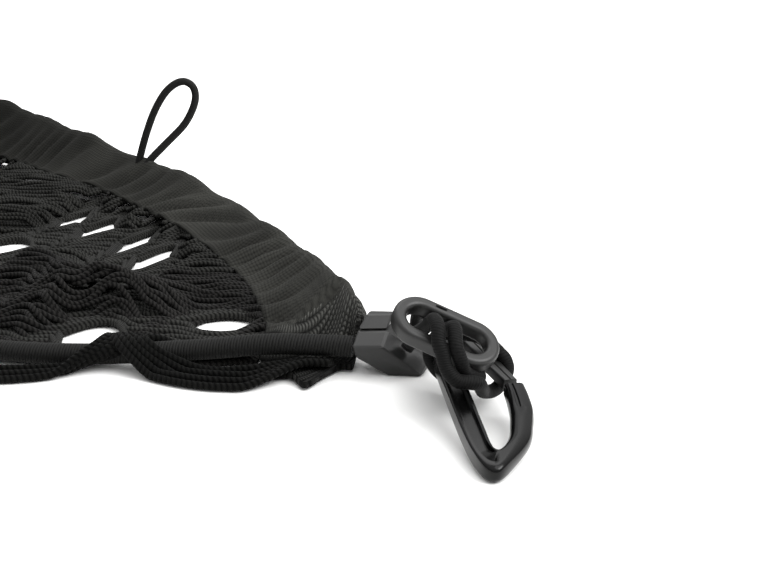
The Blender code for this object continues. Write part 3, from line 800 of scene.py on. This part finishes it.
def frontBundle(start, number):  # one yarn, from its side of the bungee at the corner
    xs = yarnPlaces(frontYarns["ends"][start], True, frontYarns["fineGap"])
    far = np.abs(xs)
    inFront = np.full(len(xs), float(start))
    sign = start
    for crossing in frontYarns["crossings"]:
        past = far - crossing + frontYarns["stagger"] * (number - 1.5)
        inFront -= sign * (1 - np.tanh(past / frontYarns["turn"]))
        sign = -sign
    middleY, middleZ = bungeeAt(xs)
    out = np.abs(inFront) ** 3
    # each stretch between two crossings bulges most near its middle
    at = sorted((*frontYarns["bulgeAt"], *frontYarns["crossings"]))
    spans = np.interp(far, (*at, frontYarns["ends"][1]), (1, 0, 1, 0, 1, 0, 1, 0, 1, 0.6))
    bulge = frontYarns["bulge"] * np.sin(spans * math.pi / 2) ** frontYarns["bulgePower"]
    fan = frontYarns["fan"] * (number - 1.0) * (1 + frontYarns["widerFan"] * spans)
    behind, share = frontYarns["behind"]
    spread = np.where(inFront > 0, bulge - frontYarns["inner"] + fan, behind + fan * share)
    reach = frontYarns["over"] + frontYarns["further"] * number + out * spread
    angle = math.pi / 2 + inFront * math.radians(frontYarns["winding"])
    ys = middleY + reach * np.cos(angle)
    low = frontYarns["low"] + (frontYarns["everyOther"] if number % 2 else 0.0) * out
    zs = np.maximum(middleZ + reach * np.sin(angle), low)
    if start > 0:  # the ends run in beneath the bungee to the clamp
        ending = np.clip((far - frontYarns["endFrom"]) / frontYarns["endOver"], 0, 1)
        ending = ending * ending * (3 - 2 * ending)
        endY = middleY - frontYarns["endBack"] - frontYarns["endApart"] * number
        endZ = middleZ - frontYarns["endBelow"] + frontYarns["endRise"] * number
        ys = ys * (1 - ending) + endY * ending
        zs = zs * (1 - ending) + endZ * ending
    ys = softened(ys, xs, reach=2)
    zs = np.maximum(softened(zs, xs, reach=2), frontYarns["lowest"])
    radius = netYarns["yarn"] / 2 * mm * frontYarns["thicker"]
    return yarnTube(xs, ys, zs, radius, frontYarns["around"], beadedYarn)


def lowerBases():  # rows that lie further apart towards the back
    bases, gap = [lowerYarns["first"]], lowerYarns["gap"]
    while bases[-1] < lowerYarns["last"]:
        gap *= lowerYarns["looser"] if bases[-1] > lowerYarns["even"] else 1.0
        bases.append(bases[-1] + gap)
    return bases


def lowerYarn(row, base):
    limit = edgeLimit(base) - lowerYarns["shorter"]
    xs = np.linspace(-limit, limit, int(2 * limit / lowerYarns["spacing"]))
    ys = openUp(xs, base + ripples(lowerYarns["sway"], xs, row))
    zs = lowerYarns["height"] + ripples(lowerYarns["lift"], xs, row)
    return yarnTube(xs, ys, zs, lowerYarns["yarn"] / 2 * mm, lowerYarns["around"])


def netYarn(bundle, twin):
    xs, ys, base = yarnLine(bundle, twin)
    ys = openUp(xs, ys)
    heights = softened(np.array([surfaceHeight(x, y) for x, y in zip(xs, ys)]), xs, reach=5)
    flat = softened(layDown(xs, ys), xs, reach=4)
    lift = np.clip(ripples(netYarns["stack"], xs, bundle) + netYarns["stackUp"], 0, netYarns["stackMost"])
    if twin:
        lift = lift + (netYarns["twinUp"] + ripples(netYarns["twinStack"], xs, bundle))
    # beyond the front rows a yarn runs down into the seam of the band
    joined = 1.0
    if base > netYarns["seamFrom"]:
        joined = np.clip((edgeLimit(base) - np.abs(xs)) / netYarns["seamOver"], 0, 1)
    seamZ = np.interp(base, [row[1] for row in edgeRows], [row[2] for row in edgeRows])
    zs = (heights + lift * min(1.0, 0.3 + bundle / 4)) * flat * joined + seamZ * (1 - joined)
    zs = np.maximum(zs, netYarns["lowest"])
    return yarnTube(xs, ys, zs, netYarns["yarn"] / 2 * mm, netYarns["around"])


def makeNet():
    edge = [frontBundle(start, number) for start in (1, -1) for number in range(frontYarns["yarns"])]
    lower = [lowerYarn(row, base) for row, base in enumerate(lowerBases())]
    near, back = [], []
    for bundle in range(netYarns["bundles"]):
        base = yarnLine(bundle, 0)[2]
        if base > netYarns["last"]:
            break
        part = near if base < netYarns["nearDepth"] else back
        part += [netYarn(bundle, twin) for twin in (0, 1)]
    for name, tubes, material in (("edge", edge, shadedFrontKnit), ("front", near, shadedNearKnit),
                                  ("back", back, knit), ("lower", lower, knit)):
        piece = joinTubes("net_chain_knit_" + name, tubes, material, sharpFrom=180.0)
        ridesOn(piece, "net_mesh")


makeNet()


# Moulded hardware: bars with rounded rims, whose stations are a middle, a direction across, a normal
# and a width. Lengths are millimetres. A row of the hook or gate is its outer edge and its inner edge,
# each as a place down from the heel and one to the side.
hookPlace = {"heel": (418.5, -6.0, 10.2), "tip": (438.0, -55.9, 1.9), "side": (446.6, -31.0, 4.7)}
hookRows = (
    (-12.2, 11.6, -9.0, 8.8), (-15.2, 7.4, -11.0, 7.0), (-12.6, 2.0, -9.6, 5.6), (-5.2, -0.3, -4.6, 4.9),
    (8.0, -0.8, 8.0, 4.9), (22.0, -1.0, 22.0, 4.8), (36.0, -1.0, 36.0, 4.6), (45.0, -0.5, 42.2, 4.5),
    (51.4, 1.0, 44.3, 5.0), (53.0, 4.0, 44.3, 6.2), (48.4, 8.8, 42.2, 7.9), (41.4, 14.2, 38.4, 9.9),
    (35.0, 16.8, 33.0, 11.6), (29.0, 18.5, 27.4, 13.0), (22.0, 19.3, 21.4, 13.9), (17.2, 19.5, 16.8, 14.3),
)
gateRows = ((-8.8, 13.2, -7.6, 9.2), (0.0, 15.3, 0.8, 11.2), (14.0, 18.4, 14.6, 14.8))
# The nose is rounder and nearly solid, with only a shallow groove by the tip. Changes are in rows:
# where one starts and over how many it comes.
hook = {
    "thickness": 4.4, "rim": 1.3, "flange": 1.0, "recess": 1.35, "recessFrom": 2.2, "round": 0.85,
    "nose": (7.2, 1.6), "noseRound": 1.9, "tip": (12.6, 0.7), "tipRound": 0.55, "grooveRim": 3.1,
    "groove": 0.45, "steps": 10,
}
gate = {"thickness": 3.2, "round": 0.6, "seam": 0.25, "seamDepth": 0.3, "steps": 8}
ring = {
    "middle": (422.3, -13.8, 20.4), "along": (0.915, 0.071, -0.392), "across": (0.069, 0.91, 0.43),
    "length": 28.8, "width": 14.7, "bar": 3.5, "thickness": 4.6, "round": 1.3, "rim": 1.0, "step": 0.8,
    "arcSteps": 25, "notch": -3.4, "notchHalf": 1.0, "notchDepth": 0.9,
}
# A section's rounded corners, its narrowest rim and recess, the recess's wall, and the clearance
# that keeps two corners from falling together.
sectionForm = {"cornerSteps": 6, "leastRim": 0.1, "leastRecess": 0.3, "wall": 0.3, "clearance": 0.02}
mouldedSharp = {"dressed": 38, "solid": 32}  # degrees from which an edge stays crisp


def squared(along, across):  # both directions at unit length and square to each other, and their normal
    along = along / np.linalg.norm(along)
    across = across - along * across.dot(along)
    across = across / np.linalg.norm(across)
    return along, across, np.cross(along, across)


def barStations(rows, steps):
    heel, tip, side = (placed(hookPlace[name]) for name in ("heel", "tip", "side"))
    down, side, normal = squared(tip - heel, side - heel)
    rows = np.array(rows)
    outer = smoothRoute(np.array([heel + (down * a + side * b) * mm for a, b in rows[:, 0:2]]), steps)
    inner = smoothRoute(np.array([heel + (down * a + side * b) * mm for a, b in rows[:, 2:4]]), steps)
    widths = np.linalg.norm(outer - inner, axis=1)
    return [((a + b) / 2, (a - b) / w, normal, w / mm) for a, b, w in zip(outer, inner, widths)]


def roundSection(width, thickness, radius, rims, recess):  # with a flat recess between two rims
    edge, half = width / 2, thickness / 2
    clearance = sectionForm["clearance"]
    radius = min(radius, half - clearance, edge - clearance)
    angles = np.radians(np.linspace(0, 90, sectionForm["cornerSteps"]))
    arc = np.stack([edge - radius + radius * np.cos(angles), half - radius + radius * np.sin(angles)], axis=1)
    outer = min(edge - sectionForm["leastRim"], edge - max(rims[0], radius + clearance))
    inner = min(max(rims[1], radius + clearance) - edge, outer - sectionForm["leastRecess"])
    wall = min(sectionForm["wall"], (outer - inner) / 3)
    floor = [(outer, half), (outer - wall, half - recess), (inner + wall, half - recess), (inner, half)]
    top = np.vstack([arc, floor, (arc * (-1, 1))[::-1]])
    return np.vstack([top, (top * (1, -1))[::-1]])


def makeMoulding(name, stations, sections, material, node, body, closed=False):
    points = np.array([middle + np.outer(section[:, 0] * mm, across) + np.outer(section[:, 1] * mm, normal)
                       for (middle, across, normal, width), section in zip(stations, sections)])
    rings, count = points.shape[:2]
    faces = []
    for s in range(rings if closed else rings - 1):
        for k in range(count):
            corners = ((s, k), (s, k + 1), (s + 1, k + 1), (s + 1, k))
            faces.append([i % rings * count + j % count for i, j in corners])
    if not closed:
        faces += [tuple(range(count))[::-1], tuple(range((rings - 1) * count, rings * count))]
    for side, turn in (("right", 1), ("left", -1)):
        mesh = bpy.data.meshes.new(name + "_" + side)
        mesh.from_pydata((points.reshape(-1, 3) * (turn, 1, 1)).tolist(), [], faces)
        shape = bmesh.new()
        shape.from_mesh(mesh)
        bmesh.ops.recalc_face_normals(shape, faces=shape.faces)
        shape.to_mesh(mesh)
        shape.free()
        mesh.materials.append(material)
        mesh.shade_smooth()
        mesh.set_sharp_from_angle(angle=math.radians(mouldedSharp["dressed"]))
        piece = addObject(name + "_" + side, mesh)
        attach(piece, body if body == "net" else body + "_" + side)
        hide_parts(node + "_" + side)


def comesIn(row, change):
    start, length = change
    return float(np.clip((row - start) / length, 0, 1))


def makeHook():
    stations = barStations(hookRows, hook["steps"])
    sections = []
    for index, station in enumerate(stations):
        row = index / hook["steps"]
        nose, tip = comesIn(row, hook["nose"]), comesIn(row, hook["tip"])
        radius = hook["round"] + (hook["noseRound"] - hook["round"]) * nose * (1 - hook["tipRound"] * tip)
        recess = hook["recess"] * (1 - nose) * comesIn(row, (hook["recessFrom"], 1.0)) + hook["groove"] * tip
        rims = (hook["rim"] + (hook["grooveRim"] - hook["rim"]) * nose, hook["flange"])
        sections.append(roundSection(station[3], hook["thickness"], radius, rims, recess))
    makeMoulding("hook_body_moulded", stations, sections, gloss, "hook_body", "net")


def makeGate():
    stations = barStations(gateRows, gate["steps"])
    sections = []
    for middle, across, normal, width in stations:
        rim = (width - gate["seam"] * 2) / 2
        sections.append(roundSection(width, gate["thickness"], gate["round"], (rim, rim), gate["seamDepth"]))
    makeMoulding("hook_gate_moulded", stations, sections, satin, "hook_gate", "gate")


def makeRing():
    along, across, normal = squared(np.array(ring["along"]), np.array(ring["across"]))
    radius = (ring["width"] - ring["bar"]) / 2
    straight = (ring["length"] - ring["width"]) / 2
    rims = (ring["rim"], ring["rim"])
    stations, sections = [], []
    for end in (1, -1):
        turns = [(straight, angle) for angle in np.linspace(-90, 90, ring["arcSteps"])]
        turns += [(x, 90.0) for x in np.arange(straight - ring["step"], -straight, -ring["step"])]
        for x, angle in turns:
            outward = (along * math.cos(math.radians(angle)) + across * math.sin(math.radians(angle))) * end
            middle = placed(ring["middle"]) + along * (x * end * mm) + outward * (radius * mm)
            notched = end == 1 and angle == 90.0 and abs(x - ring["notch"]) < ring["notchHalf"]
            deep = ring["notchDepth"] if notched else 0.0
            stations.append((middle, outward, normal, ring["bar"]))
            sections.append(roundSection(ring["bar"], ring["thickness"], ring["round"], rims, deep))
    makeMoulding("oval_ring_moulded", stations, sections, satin, "oval_ring", "net", closed=True)


def dressClamps():  # the solids' own shape, in the same satin nylon
    for name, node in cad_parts.items():
        if name.startswith("clamp_"):
            node.data.materials.clear()
            node.data.materials.append(satin)
            node.data.shade_smooth()
            node.data.set_sharp_from_angle(angle=math.radians(mouldedSharp["solid"]))


makeHook()
makeGate()
makeRing()
dressClamps()
print("hardware made")
